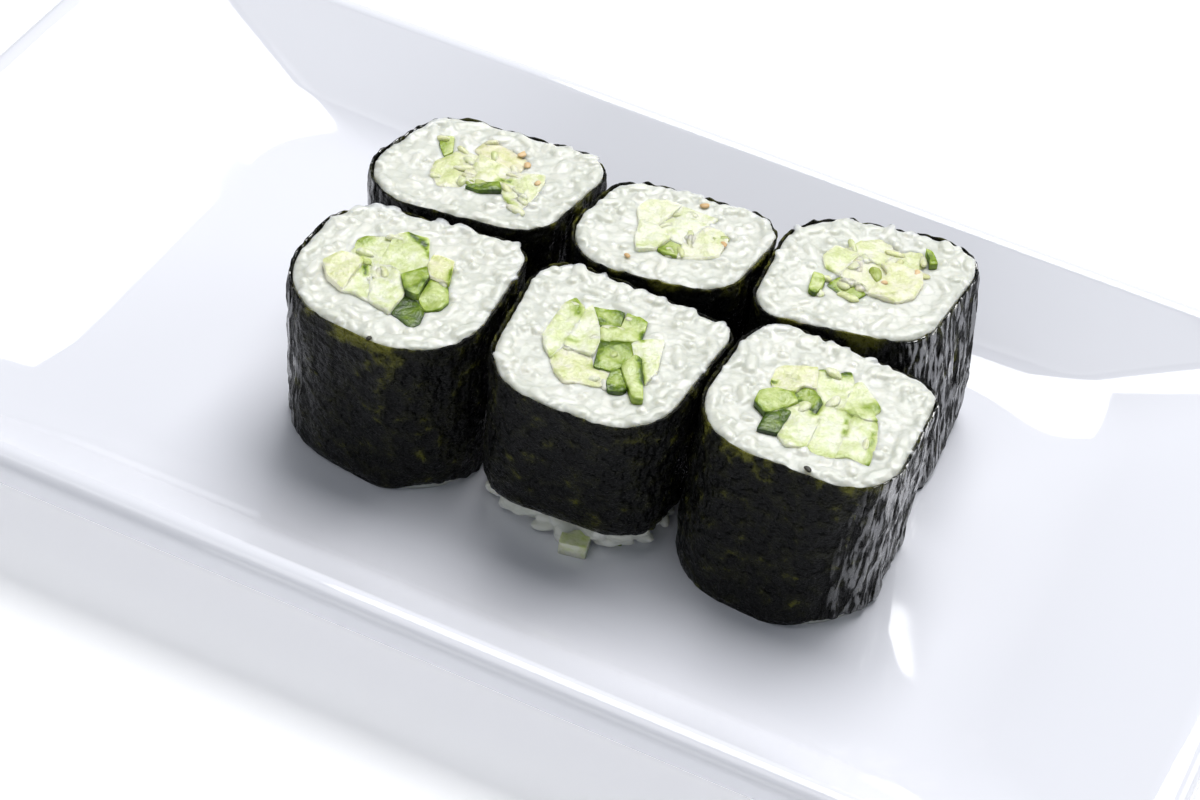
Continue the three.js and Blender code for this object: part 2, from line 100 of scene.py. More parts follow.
def new_piece(name, points, faces, material):
    """A mesh object with its place in its mesh."""
    mesh = bpy.data.meshes.new(name)
    mesh.from_pydata([tuple(p) for p in points], [], [tuple(f) for f in faces])
    mesh.materials.append(material)
    shade_smooth(mesh)
    return add_object(name, mesh)


TABLE_HALF = 2.5

table_finish, tree, shader = new_material("white_table")
shader.inputs["Base Color"].default_value = (0.93, 0.93, 0.94, 1)
shader.inputs["Roughness"].default_value = 0.7
shader.inputs["Emission Color"].default_value = (1, 1, 1, 1)
shader.inputs["Emission Strength"].default_value = 0.27
corners = [(-1, -1, 0), (1, -1, 0), (1, 1, 0), (-1, 1, 0)]
corners = np.array(corners) * TABLE_HALF
table = new_piece("table_top", corners, [(0, 1, 2, 3)], table_finish)

# ---- Studio lamps -------------------------------------------------------------------------
# One large soft box hangs over the back of the dish, so the tops are lit, the fronts stay dark
# and short soft shadows fall to the front. Four weaker ones fill them in, and the one on the
# right makes the nori shine.


def soft_box(name, place, width, length, power):
    """A rectangular lamp that faces the dish."""
    lamp = bpy.data.lights.new(name, "AREA")
    lamp.shape = "RECTANGLE"
    lamp.size, lamp.size_y, lamp.energy = width, length, power
    facing = (Vector() - Vector(place)).to_track_quat("-Z", "Y").to_matrix().to_4x4()
    add_object(name, lamp).matrix_world = Matrix.Translation(place) @ facing


soft_box("box_behind", (0.007, 0.5, 1.09), 0.81, 0.86, 17.2)
soft_box("box_front", (-0.34, -0.42, 1.22), 0.6, 0.6, 1.9)
soft_box("box_left", (-1.4, 0.3, 0.8), 1.0, 1.0, 1.6)
soft_box("box_right", (1.0, 0.9, 0.4), 0.8, 0.6, 5.5)
soft_box("box_low", (0, -1.8, 0.5), 1.4, 0.8, 6.0)

world = bpy.data.worlds.new("studio")
bpy.context.scene.world = world
world.use_nodes = True
sky = world.node_tree.nodes["Background"]
sky.inputs["Color"].default_value = (0.50, 0.76, 1.0, 1)
sky.inputs["Strength"].default_value = 0.07

# ---- Plate --------------------------------------------------------------------------------
# A shallow rectangular plate of slip-cast porcelain: a level well, walls that rise from it on
# a hollow curve, longer at the ends, and a thick rolled lip. It is glazed all over but for the
# rim of the foot ring that it stands on, and the glaze has pulled into very slight waves.

MM = 0.001
RIM_LENGTH = 214.6
RIM_WIDTH = 120
RIM_HEIGHT = 20
RIM_CORNER = 7
LIP_ROUND = 2.4
LIP_THICKNESS = 5
LIP_BEVEL = 0.6
WELL_FLOOR = 8
WELL_CORNER = 18
WALL_RUN = 22.5
END_WALL_RUN = 46.3
WALL_SLOPE = math.radians(36)
WALL_THICKNESS = 5
FOOT_INSET = 24.5
FOOT_WIDTH = 3
FOOT_DRAFT = 0.8
FOOT_EASE = 0.3
FOOT_BEVEL = 0.2
BARE_HEIGHT = 0.12


def rounded_outline(corners, inset, corner_steps, side_steps=1):
    """The outline through corners given as (x, y, radius), anticlockwise, moved in."""
    arcs = []
    for i, (x, y, radius) in enumerate(corners):
        before, after = corners[i - 1], corners[(i + 1) % len(corners)]
        start = math.atan2(y - before[1], x - before[0]) - math.pi / 2
        end = math.atan2(after[1] - y, after[0] - x) - math.pi / 2
        sweep = (end - start) % (2 * math.pi)
        middle = start + sweep / 2
        reach = radius / math.cos(sweep / 2)
        centre = np.array((x - reach * math.cos(middle), y - reach * math.sin(middle)))
        angles = start + sweep * np.linspace(0, 1, corner_steps + 1)
        spokes = np.stack((np.cos(angles), np.sin(angles)), axis=1)
        arcs.append(centre + (radius - inset) * spokes)
    outline = []
    for i, arc in enumerate(arcs):
        following = arcs[(i + 1) % len(arcs)][0]
        shares = np.linspace(0, 1, side_steps + 1)[1:-1, None]
        outline += [arc, arc[-1] * (1 - shares) + following * shares]
    return np.concatenate(outline)


def band_faces(rings, count):
    """Four-sided faces between open rings of equally many points."""
    faces = []
    for band in range(rings - 1):
        low, high = band * count, (band + 1) * count
        for i in range(count):
            after = (i + 1) % count
            faces.append((low + i, low + after, high + after, high + i))
    return faces


def closed_faces(rings, count):
    """The same, with both ends closed to their middles, which are the last two points."""
    faces = band_faces(rings, count)
    first, last = rings * count, (rings - 1) * count
    for i in range(count):
        after = (i + 1) % count
        faces.append((first, after, i))
        faces.append((first + 1, last + i, last + after))
    return faces


def loft(name, rings, finish):
    """A closed piece through rings of equally many points, in millimetres."""
    middles = [[rings[0].mean(axis=0)], [rings[-1].mean(axis=0)]]
    points = np.concatenate(rings + middles) * MM
    return new_piece(name, points, closed_faces(len(rings), len(rings[0])), finish)


def plate_ring(inset, height):
    """One level line of the plate, in millimetres, whose corners widen towards the well."""
    widened = RIM_CORNER + (WELL_CORNER - RIM_CORNER) * inset / WALL_RUN
    radius = RIM_CORNER - inset if inset < 0 else widened
    stretched = (END_WALL_RUN / WALL_RUN - 1) * min(max(inset, 0), WALL_RUN)
    x, y = RIM_LENGTH / 2 - inset - stretched, RIM_WIDTH / 2 - inset
    corners = [(-x, -y, radius), (x, -y, radius), (x, y, radius), (-x, y, radius)]
    outline = rounded_outline(corners, 0, 14, 6)
    return np.column_stack((outline, np.full(len(outline), height)))


lean, level = math.sin(WALL_SLOPE), math.cos(WALL_SLOPE)
run = WALL_RUN - LIP_ROUND * lean
rise = RIM_HEIGHT - WELL_FLOOR - LIP_ROUND * (1 - level)
hollow = (run * lean - rise * level) / (1 - level)
underside = WELL_FLOOR - WALL_THICKNESS
lip_bottom = RIM_HEIGHT - LIP_THICKNESS
foot_outer = FOOT_INSET + FOOT_DRAFT
foot_inner = foot_outer + FOOT_WIDTH
plate_rings = [
    plate_ring(foot_inner + FOOT_DRAFT, underside),
    plate_ring(foot_inner + FOOT_EASE, FOOT_BEVEL),
    plate_ring(foot_inner - FOOT_BEVEL, 0),
    plate_ring(foot_outer + FOOT_BEVEL, 0),
    plate_ring(foot_outer - FOOT_EASE, FOOT_BEVEL),
    plate_ring(FOOT_INSET, underside),
]
outer = hollow + WALL_THICKNESS
for angle in np.linspace(0, WALL_SLOPE, 12):
    inset = WALL_RUN - outer * math.sin(angle)
    plate_rings.append(plate_ring(inset, WELL_FLOOR + hollow - outer * math.cos(angle)))
for angle in np.linspace(0, math.pi / 2, 5):
    inset = LIP_BEVEL - LIP_ROUND - LIP_BEVEL * math.sin(angle)
    plate_rings.append(plate_ring(inset, lip_bottom + LIP_BEVEL * (1 - math.cos(angle))))
for angle in np.linspace(math.pi / 2, -WALL_SLOPE, 16):
    height = RIM_HEIGHT - LIP_ROUND * (1 - math.cos(angle))
    plate_rings.append(plate_ring(-LIP_ROUND * math.sin(angle), height))
for angle in np.linspace(WALL_SLOPE, 0, 26):
    inset = WALL_RUN - hollow * math.sin(angle)
    plate_rings.append(plate_ring(inset, WELL_FLOOR + hollow * (1 - math.cos(angle))))


def add_math(tree, operation, first, second):
    """Two numbers, or the sockets that give them, made into one."""
    node = add_node(tree, "ShaderNodeMath", {0: first, 1: second}, operation=operation)
    return node.outputs[0]


def add_range(tree, value, low, high, to_low=0, to_high=1):
    """A value moved from one span to another."""
    spans = {"From Min": low, "From Max": high, "To Min": to_low, "To Max": to_high}
    return add_node(tree, "ShaderNodeMapRange", {"Value": value, **spans}).outputs[0]


def add_mix(tree, share, first, second, blend="MIX"):
    """Two colours mixed by a share."""
    colours = {0: share, 6: first, 7: second}
    node = add_node(tree, "ShaderNodeMix", colours, data_type="RGBA", blend_type=blend)
    return node.outputs[2]


def add_bump(tree, height, strength, distance, under=None):
    """Relief from a height, on top of another relief where there is one."""
    inputs = {"Height": height, "Strength": strength, "Distance": distance}
    if under is not None:
        inputs["Normal"] = under
    return add_node(tree, "ShaderNodeBump", inputs).outputs[0]


# How far a value strays from its middle over a surface: cloudy, with finer grain inside.
straying = bpy.data.node_groups.new("straying", "ShaderNodeTree")
for name, value in (("Size", 1.0), ("Detail", 3.0), ("Amount", 0.1), ("Rise", 1.0)):
    socket = straying.interface.new_socket(name, in_out="INPUT", socket_type="NodeSocketFloat")
    socket.default_value = value
straying.interface.new_socket("Value", in_out="OUTPUT", socket_type="NodeSocketFloat")
straying.interface.new_socket("Height", in_out="OUTPUT", socket_type="NodeSocketFloat")
given = add_node(straying, "NodeGroupInput")
place = add_node(straying, "ShaderNodeTexCoord")
scale = add_math(straying, "DIVIDE", 1000.0, given.outputs["Size"])
upwards = add_node(straying, "ShaderNodeCombineXYZ", {0: 1.0, 1: 1.0, 2: given.outputs["Rise"]})
drawn_out = add_node(
    straying,
    "ShaderNodeVectorMath",
    {0: place.outputs["Object"], 1: upwards.outputs[0]},
    operation="MULTIPLY",
)
cloud = add_node(
    straying,
    "ShaderNodeTexNoise",
    {"Vector": drawn_out.outputs[0], "Scale": scale, "Detail": given.outputs["Detail"]},
).outputs["Fac"]
centred = add_math(straying, "SUBTRACT", cloud, 0.5)
strayed = add_math(straying, "MULTIPLY", centred, given.outputs["Amount"])
add_node(straying, "NodeGroupOutput", {"Value": strayed, "Height": cloud})


def add_straying(tree, size, detail, amount=1.0, rise=1.0):
    """The straying group in a material: size in millimetres, drawn out upwards where rise is
    less than 1."""
    group = add_node(tree, "ShaderNodeGroup", node_tree=straying)
    for title, value in (("Size", size), ("Detail", detail), ("Amount", amount), ("Rise", rise)):
        group.inputs[title].default_value = value
    return group


porcelain, tree, shader = new_material("glazed_porcelain")
place = add_node(tree, "ShaderNodeTexCoord")
height = add_node(tree, "ShaderNodeSeparateXYZ", {0: place.outputs["Object"]}).outputs["Z"]
bare = add_math(tree, "LESS_THAN", height, BARE_HEIGHT * MM)
body = add_mix(tree, bare, (0.80, 0.805, 0.86, 1), (0.72, 0.68, 0.62, 1))
gloss = add_range(tree, bare, 0, 1, 0.045, 0.7)
wave = add_bump(tree, add_straying(tree, 14, 1).outputs["Height"], 0.3, 0.00012)
tree.links.new(body, shader.inputs["Base Color"])
tree.links.new(gloss, shader.inputs["Roughness"])
tree.links.new(wave, shader.inputs["Normal"])
shader.inputs["IOR"].default_value = 1.52

plate = loft("porcelain_plate", plate_rings, porcelain)
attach(plate, "root")
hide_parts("plate")

# ---- Nori ---------------------------------------------------------------------------------
# Each roll is wrapped in one sheet of toasted seaweed, a third of a millimetre thick. It has
# drawn tight over the rice, wrinkled where it was folded round, and torn a little at the cut.

ROLL_HEIGHT = 28.2
NORI_SHEET = 0.3
SHEET_ROWS = 88
INNER_ROWS = (0, 40, 80, 84, 86, 87)
HEM_TURN = 0.4
HEM_HEIGHT = 1.2
CREASE_LIMIT = 0.45
FOLD_LIMIT = 0.4
MOST_INWARDS = -0.06
RIM_REACH = 2.6
WORN_REACH = 2.2
ROLLS = {
    "front_left": {
        "at": (-20.5, -15),
        "top": ((-15.1, -13.3, 12.9), (16.6, -16.2, 11.7), (14.3, 16.4, 4.4), (-14.8, 12.1, 9)),
        "foot": ((-15.4, -12.1, 14.4), (19.2, -15, 12), (14, 15.8, 5), (-14.5, 11.4, 9)),
        "lift": 0,
    },
    "front_middle": {
        "at": (11.5, -14),
        "top": ((-12.9, -15.3, 10.9), (13.9, -15, 10), (15.2, 14.4, 3.5), (-16.3, 15.4, 6.4)),
        "foot": ((-12.4, -12.7, 7.4), (14.2, -11.3, 8.6), (14.6, 13.9, 3.5), (-15.4, 14.9, 6.4)),
        "lift": 4.5,
    },
    "front_right": {
        "at": (42.5, -9.5),
        "top": ((-15.3, -14.3, 10.7), (15.7, -13.2, 8.3), (14.5, 13.4, 5.8), (-15, 15.1, 7.1)),
        "foot": ((-16.4, -14.2, 11.5), (15.3, -16.7, 13.5), (13.6, 12.8, 5.8), (-14.4, 14.5, 7.1)),
        "lift": 0,
    },
    "back_left": {
        "at": (-20.5, 12),
        "top": ((-19, -14.6, 8.8), (13.7, -8.9, 7.8), (16.8, 14.3, 5.3), (-12.2, 11.2, 8.7)),
        "foot": ((-18.4, -14.1, 8.8), (13.2, -8.4, 7.8), (16.2, 13.8, 5.3), (-11.7, 10.7, 8.7)),
        "lift": 0,
    },
    "back_middle": {
        "at": (9.5, 14),
        "top": ((-15.1, -14, 8.7), (12.4, -8.6, 7.8), (14.7, 13, 5.8), (-12.1, 9.8, 7.2)),
        "foot": ((-14.6, -13.5, 8.7), (11.8, -8.1, 7.8), (14, 12.5, 5.8), (-11.6, 9.3, 7.2)),
        "lift": 0,
    },
    "back_right": {
        "at": (37.5, 21),
        "top": ((-12.3, -16.9, 5.4), (13.4, -11.1, 8.5), (15.1, 15.9, 6.3), (-14.5, 10.1, 11.4)),
        "foot": ((-11.8, -16.4, 6.4), (18.6, -11.7, 7.6), (16, 15.4, 6.3), (-14, 9.6, 11.4)),
        "lift": 0,
    },
}


def drift(points, size, seed):
    """Smooth random values from -1 to 1 at points, with swells of about this size."""
    lattice = np.random.default_rng(seed).uniform(-1, 1, (16, 16, 16))
    cell = np.asarray(points, float) / size
    base = np.floor(cell).astype(int)
    part = cell - base
    part = part * part * (3 - 2 * part)
    value = np.zeros(len(cell))
    for corner in itertools.product((0, 1), repeat=3):
        share = np.prod(np.where(corner, part, 1 - part), axis=1)
        at = (base + corner) % 16
        value += share * lattice[at[:, 0], at[:, 1], at[:, 2]]
    return value


def roll_ring(roll, height, inset, corner_steps, side_steps):
    """A level line of a roll's wall in millimetres, on the plate."""
    share = max(0, (height - roll["lift"]) / (ROLL_HEIGHT - roll["lift"]))
    foot = rounded_outline(roll["foot"], inset, corner_steps, side_steps)
    top = rounded_outline(roll["top"], inset, corner_steps, side_steps)
    outline = foot * (1 - share) + top * share + roll["at"]
    return np.column_stack((outline, np.full(len(outline), height + WELL_FLOOR)))


def outward(ring):
    """The level direction out of a ring at each of its points."""
    along = np.roll(ring, -1, axis=0) - np.roll(ring, 1, axis=0)
    out = np.stack((along[:, 1], -along[:, 0], np.zeros(len(ring))), axis=1)
    return out / np.linalg.norm(out, axis=1)[:, None]


def add_attribute(tree, title):
    """A value that the piece's own mesh holds."""
    return add_node(tree, "ShaderNodeAttribute", attribute_name=title).outputs["Fac"]


def add_ramp(tree, value, stops):
    """A run of colours along a value, given as positions and colours in order."""
    node = add_node(tree, "ShaderNodeValToRGB", {"Fac": value})
    steps = node.color_ramp.elements
    for i in (0, -1):
        steps[i].position, steps[i].color = stops[i][0], (*stops[i][1], 1)
    for position, colour in stops[1:-1]:
        steps.new(position).color = (*colour, 1)
    return node.outputs["Color"]


def set_values(mesh, title, values):
    """Gives each point of a mesh its own value."""
    mesh.attributes.new(title, "FLOAT", "POINT").data.foreach_set("value", values)


nori_finish, tree, shader = new_material("toasted_nori")
mottle = add_straying(tree, 2.4, 8).outputs["Height"]
shade = add_math(tree, "ADD", mottle, add_attribute(tree, "olive"))
black, dull, olive = (0.0028, 0.003, 0.0026), (0.011, 0.0115, 0.004), (0.135, 0.135, 0.018)
tone = add_ramp(tree, shade, ((0.47, black), (0.62, dull), (0.84, olive)))
fibre = add_straying(tree, 0.8, 6).outputs["Height"]
sheen = add_range(tree, fibre, 0.35, 0.65, 0.2, 0.42)
waves = add_bump(tree, add_straying(tree, 2.4, 4).outputs["Height"], 1, 0.003)
crinkle = add_bump(tree, fibre, 1, 0.0008, waves)
# Where the sheet is drawn tight round the flanks it shines in long streaks.
taut = add_attribute(tree, "taut")
streaks = add_straying(tree, 0.85, 5, rise=0.17).outputs["Height"]
glossy = add_math(tree, "MULTIPLY", add_range(tree, streaks, 0.48, 0.57), taut)
pleats = add_bump(tree, add_math(tree, "MULTIPLY", streaks, taut), 1, 0.008, crinkle)
tree.links.new(tone, shader.inputs["Base Color"])
tree.links.new(sheen, shader.inputs["Roughness"])
tree.links.new(pleats, shader.inputs["Normal"])
tree.links.new(glossy, shader.inputs["Coat Weight"])
shader.inputs["Coat Roughness"].default_value = 0.09
shader.inputs["Coat IOR"].default_value = 2.8
shader.inputs["IOR"].default_value = 1.25

# Where the sheet has worn thin and green at the cut, as x, y in millimetres.
WORN = {
    "front_left": ((-20.5, -30.2), (-17.5, -31), (-14.5, -29.8)),
    "front_right": ((35.4, -22.4),),
    "back_middle": ((6, 0.5), (14, 3)),
    "back_right": ((32, 5), (42, 8)),
}
# The side on which a roll stands free, where its sheet shines, and how far round it does.
FREE_SIDE = {"front_left": -1.2, "back_left": -1.2, "front_right": 1, "back_right": 1.1}
# Where a sheet's lower edge has crept up, as x, y, reach and height in millimetres.
CREPT = {"front_left": (-6.5, -26.5, 5.5, 1.1), "front_right": (53.5, -20.5, 5.5, 1.2)}
# How far a sheet wanders in and out in swells of each size, and the seed of each.
SWELLS = ((0.35, 8, 10), (0.16, 3.2, 15), (0.08, 1.3, 30), (0.05, 0.7, 40))

for number, (name, roll) in enumerate(ROLLS.items()):
    lift = roll["lift"]
    outer_rings, inner_rings, olives, tauts = [], [], [], []
    for row, share in enumerate(np.linspace(0, 1, SHEET_ROWS)):
        height = lift + (ROLL_HEIGHT - lift) * share
        hem = HEM_TURN * max(0, 1 - (height - lift) / HEM_HEIGHT)
        ring = roll_ring(roll, height, hem, 54, 40)
        out = outward(ring)
        # Creases run down the flanks on a slant, and lie level across the front and the back.
        slanted = ring * (1, 1, 0.16) + (0, 0, 0.3) * ring[:, [0, 0, 0]]
        creases = np.minimum(np.abs(drift(slanted, 2.4, 20 + number)), CREASE_LIMIT)
        folds = np.minimum(np.abs(drift(slanted + 40, 1.1, 25 + number)), FOLD_LIMIT)
        lying = 0.7 - np.abs(drift(ring * (0.5, 0.5, 1), 2.2, 35 + number)) * 2.2
        flank = np.clip(np.abs(out[:, 0]) * 1.7 - 0.45, 0, 1)
        moved = sum(amount * drift(ring, size, seed + number) for amount, size, seed in SWELLS)
        moved += flank * (0.9 * creases + 0.75 * folds - 0.35)
        moved += (1 - flank) * 0.16 * np.clip(lying, -0.3, 1)
        moved *= 0.3 + 0.7 * min(1, (1 - share) * 14)
        moved = np.maximum(moved + 0.08, MOST_INWARDS)
        # The knife has torn the rim, more so at the back, where it left the roll.
        back = np.clip(0.3 + out[:, 1], 0, 1)
        tear = (0.2 + 0.25 * back) * drift(ring, 1.2, 50 + number)
        tear += 0.15 * drift(ring, 5, 60 + number)
        ring[:, 2] += (tear - 0.2 - 0.45 * back) * np.clip(share * 12 - 11, 0, 1)
        if name in CREPT:
            x, y, reach, gap = CREPT[name]
            away = np.hypot(ring[:, 0] - x, ring[:, 1] - y)
            ring[:, 2] += gap * np.exp(-((away / reach) ** 4)) * max(0, 1 - share * 8)
        near_rim = math.exp(-(((1 - share) * 28 / RIM_REACH) ** 2))
        green = 0.08 * near_rim * np.clip(1 + 2 * drift(ring, 4, 90 + number), 0, 2)
        for x, y in WORN.get(name, ()):
            away = np.hypot(ring[:, 0] - x, ring[:, 1] - y)
            green += 0.3 * near_rim * np.exp(-((away / WORN_REACH) ** 2))
        free = FREE_SIDE.get(name, 0) * out[:, 0] * 2.3 - 1.2
        olives.append(green)
        tauts.append(np.clip(free + 0.3 * drift(slanted, 4, 80 + number), 0, 1))
        outer_rings.append(ring + out * moved[:, None])
        if row in INNER_ROWS:
            inner_rings.append(ring + out * (moved - NORI_SHEET)[:, None])
    rings = outer_rings + inner_rings[::-1]
    count = len(rings[0])
    total = len(rings) * count
    # The last ring joins the first one again, under the hem.
    faces = [tuple(i % total for i in face) for face in band_faces(len(rings) + 1, count)]
    sheet = new_piece("nori_sheet_" + name, np.concatenate(rings) * MM, faces, nori_finish)
    for title, values in (("olive", olives), ("taut", tauts)):
        set_values(sheet.data, title, np.concatenate(values + [values[-1]] * len(inner_rings)))
    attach(sheet, "root")
    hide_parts("nori_" + name)

# ---- Cucumber -----------------------------------------------------------------------------
# The filling is raw cucumber cut into rough strips that run through the roll. Some keep a
# side of dark skin, and the flesh goes from bright green under it to a pale, wet yellow green.

PALE_FLESH = 0.8
PALE_SWELL, GREEN_SWELL = 0.36, 0.19
# Sides paler on pale strips, as painted light in their seams, and darker with skin on green ones.
PAINTED_LIGHT_PALE_SIDES, GREEN_SIDES = 0.15, -0.2
FALLEN_STRIP = (0.84, 0, 0)
SUNK = {"cucumber_front_left_6": 0.9}
CORNER_CUT = 0.4
SHOULDER = 0.1
SHOULDER_DROP = 0.08
END_GRID = 0.55
# How far in from a strip's outline its edges are darkened, by skin and by painted shade.
SKIN_AND_SHADE_REACH = 0.5

# For each strip in turn: how pale its flesh is, how dark its edges are and how warm its tint.
# Then lines on the cut, of skin and green and of painted shade in slits: x, y to x, y, reach,
# darkness.
FILLINGS = {
    "front_left": {
        "strips": (
            (0.92, 0, 0), (0.88, 0.05, 0), (0.88, 0.05, 0.4), (0.6, 0.16, 0), (0.64, 0.1, 0),
            (0.3, 0.12, 0), (0.95, 0, 0), (0.92, 0, 0), (0.92, 0, 0.25),
        ),
        "lines": (
            (-28.6, -10.6, -28, -10, 1.2, 0.5), (-22.9, -6.2, -20.3, -7.3, 0.7, 0.8),
            (-20.3, -7.3, -18.1, -9.7, 0.35, 0.6), (-14, -10.6, -12.7, -14, 0.5, 0.7),
            (-25.7, -15.3, -24.5, -17.5, 0.45, 0.75), (-17, -19, -16.8, -23.5, 0.5, 0.5),
            (-16, -14.8, -17.5, -18, 0.4, 0.4),
        ),
    },
    "front_middle": {
        "strips": (
            (0.94, 0, 0), (0.62, 0.2, 0), (0.8, 0.08, 0), (0.94, 0, 0), (0.56, 0.12, 0),
            (0.94, 0, 0), (0.56, 0.16, 0), (0.8, 0.14, 0), (0.92, 0, 0.25),
        ),
        "lines": (
            (3.6, -6.4, 5.5, -9.3, 1.0, 0.5), (10.3, -5.8, 14.4, -5.6, 1.2, 0.35),
            (15, -8, 15.7, -9.8, 0.4, 0.7), (6.6, -15, 7.3, -14.8, 0.7, 0.4),
            (11.2, -13.2, 14.4, -11.5, 0.5, 0.5), (11.9, -18, 11.4, -13.5, 0.45, 0.4),
            (17.2, -13.8, 19.6, -18.2, 0.6, 0.7), (15.5, -21.2, 18.1, -20.6, 0.5, 0.5),
            (5.9, -19.2, 6.5, -18.8, 0.6, 0.4), (8.9, -8.6, 11.3, -8.9, 0.5, 0.35),
        ),
    },
    "front_right": {
        "strips": (
            (0.92, 0, 0), (0.9, 0, 0), (0.58, 0.1, 0), (0.7, 0.08, 0), (0.3, 0.12, 0),
            (0.94, 0.04, 0), (0.94, 0.04, 0), (0.92, 0.04, 0), (0.94, 0, 0.28),
        ),
        "lines": (
            (39.7, -1.5, 44, -0.2, 0.45, 0.7), (42.6, -1, 43.4, -0.9, 0.8, 0.6),
            (49, -5.6, 50.2, -5, 1.3, 0.45), (38.8, -8.7, 42.8, -10.7, 0.5, 0.6),
            (42.7, -10.6, 42.8, -8, 0.5, 0.6), (34.6, -13.5, 36.9, -14.8, 0.6, 0.4),
            (47, -9, 48, -12.5, 0.35, 0.6), (46, -8.2, 48.5, -8.2, 0.7, 0.35),
            (50.5, -6.5, 53.2, -17, 0.4, 0.6), (40.4, -17.2, 44, -18, 0.8, 0.2),
            (44.5, -17.8, 52.6, -16.4, 0.8, 0.2), (34.9, -8.1, 35.4, -7.9, 0.5, 0.8),
        ),
    },
    "back_left": {
        "strips": (
            (0.72, 0.05, 0), (0.9, 0, 0.2), (0.95, 0, 0.5), (0.95, 0, 0.2), (0.48, 0.1, 0),
            (0.92, 0, 0.1),
        ),
        "lines": (
            (-17.8, 12.3, -16, 13, 0.4, 0.7), (-16, 8.6, -12.4, 7.2, 0.9, 0.35),
            (-29.6, 16.8, -28.2, 13.6, 0.6, 0.35), (-21.4, 8.2, -16.8, 9.8, 0.5, 0.4),
        ),
    },
    "back_middle": {
        "strips": ((1.0, 0, 0.1), (0.98, 0, 0), (0.98, 0, 0), (0.68, 0.06, 0), (0.99, 0, 0.15)),
        "lines": ((9.6, 10.6, 10.6, 11.4, 0.7, 0.35), (6, 8.8, 7.2, 9.6, 0.5, 0.25)),
    },
    "back_right": {
        "strips": (
            (0.9, 0, 0.15), (0.88, 0, 0.1), (0.93, 0, 0.2), (0.92, 0, 0.3), (0.88, 0, 0.15),
            (0.62, 0.12, 0), (0.74, 0.08, 0), (0.64, 0.08, 0),
        ),
        "lines": (
            (33.4, 16.3, 38, 14.8, 0.6, 0.6), (32.2, 19.4, 34, 18.5, 0.5, 0.6),
            (32.7, 12.9, 33.3, 12.7, 0.9, 0.4), (44.4, 29.6, 45.6, 28.6, 0.6, 0.4),
        ),
    },
}


def cut_outline(node):
    """The outline of a strip's upper end, anticlockwise, and its two heights, in metres."""
    mesh = nodes[node].data
    spots = [tuple(round(c, 6) for c in v.co) for v in mesh.vertices]
    bottom, top = min(p[2] for p in spots), max(p[2] for p in spots)
    sides = set()
    for polygon in mesh.polygons:
        ring = [spots[i] for i in polygon.vertices]
        if min(p[2] for p in ring) > top - 1e-5:
            sides |= set(zip(ring, ring[1:] + ring[:1]))
    follows = {a: b for a, b in sides if (b, a) not in sides}
    spot = start = min(follows)
    outline = []
    while not outline or spot != start:
        outline.append(spot[:2])
        spot = follows[spot]
    return np.array(outline), bottom, top


def eased(outline, grow, reach):
    """An outline in millimetres, moved out, with its corners rounded and its sides divided."""
    after = np.roll(outline, -1, axis=0) - outline
    after /= np.linalg.norm(after, axis=1)[:, None]
    before = np.roll(after, 1, axis=0)
    normals = np.stack((after[:, 1], -after[:, 0]), axis=1)
    both = normals + np.roll(normals, 1, axis=0)
    both /= np.maximum((both**2).sum(axis=1), 0.9)[:, None] / 2
    corners = outline + both * grow
    points = []
    for i, corner in enumerate(corners):
        following = corners[(i + 1) % len(corners)]
        room = min(np.linalg.norm(corners[i - 1] - corner), np.linalg.norm(following - corner))
        cut = min(reach, 0.4 * room)
        start, end = corner - before[i] * cut, corner + after[i] * cut
        points += [start, (start + 2 * corner + end) / 4, end]
        length = np.linalg.norm(following - end)
        for share in np.arange(0.5, length - cut - 0.3, 0.5) / length:
            points.append(end + (following - end) * share)
    return np.array(points)


def distance_to(points, start, end):
    """How far points are from a line between two places."""
    along = np.subtract(end, start)
    share = np.clip((points - start) @ along / (along @ along), 0, 1)
    return np.linalg.norm(points - (start + share[:, None] * along), axis=1)


def spread(spots, count):
    """Triangles over spots inside the outline of the first ones, and where each of those is."""
    sides = [(i, (i + 1) % count) for i in range(count)]
    found = mathutils.geometry.delaunay_2d_cdt([Vector(p) for p in spots], sides, [], 1, 1e-7)
    sheet = np.array([tuple(v) for v in found[0]])
    order = [int(np.linalg.norm(sheet - p, axis=1).argmin()) for p in spots[:count]]
    return sheet, order, found[2]


cucumber_finish, tree, shader = new_material("cucumber")
wander = add_straying(tree, 1.1, 4, 0.5).outputs["Value"]
depth = add_math(tree, "ADD", add_attribute(tree, "paleness"), wander)
under = add_ramp(tree, depth, (
    (0.0, (0.015, 0.035, 0.005)),
    (0.15, (0.045, 0.085, 0.010)),
    (0.3, (0.10, 0.165, 0.012)),
    (0.5, (0.28, 0.385, 0.045)),
    (0.72, (0.54, 0.62, 0.25)),
    (0.88, (0.67, 0.72, 0.42)),
    (1.0, (0.77, 0.79, 0.62)),
))
tinted = add_mix(tree, add_attribute(tree, "warmth"), under, (1.0, 0.86, 0.72, 1), "MULTIPLY")
wet = add_bump(tree, add_straying(tree, 0.5, 4).outputs["Height"], 0.6, 0.0003)
tree.links.new(tinted, shader.inputs["Base Color"])
tree.links.new(wet, shader.inputs["Normal"])
shader.inputs["Roughness"].default_value = 0.25
shader.inputs["Subsurface Weight"].default_value = 0.55
shader.inputs["Subsurface Radius"].default_value = (0.9, 1.0, 0.5)
shader.inputs["Subsurface Scale"].default_value = 0.0015

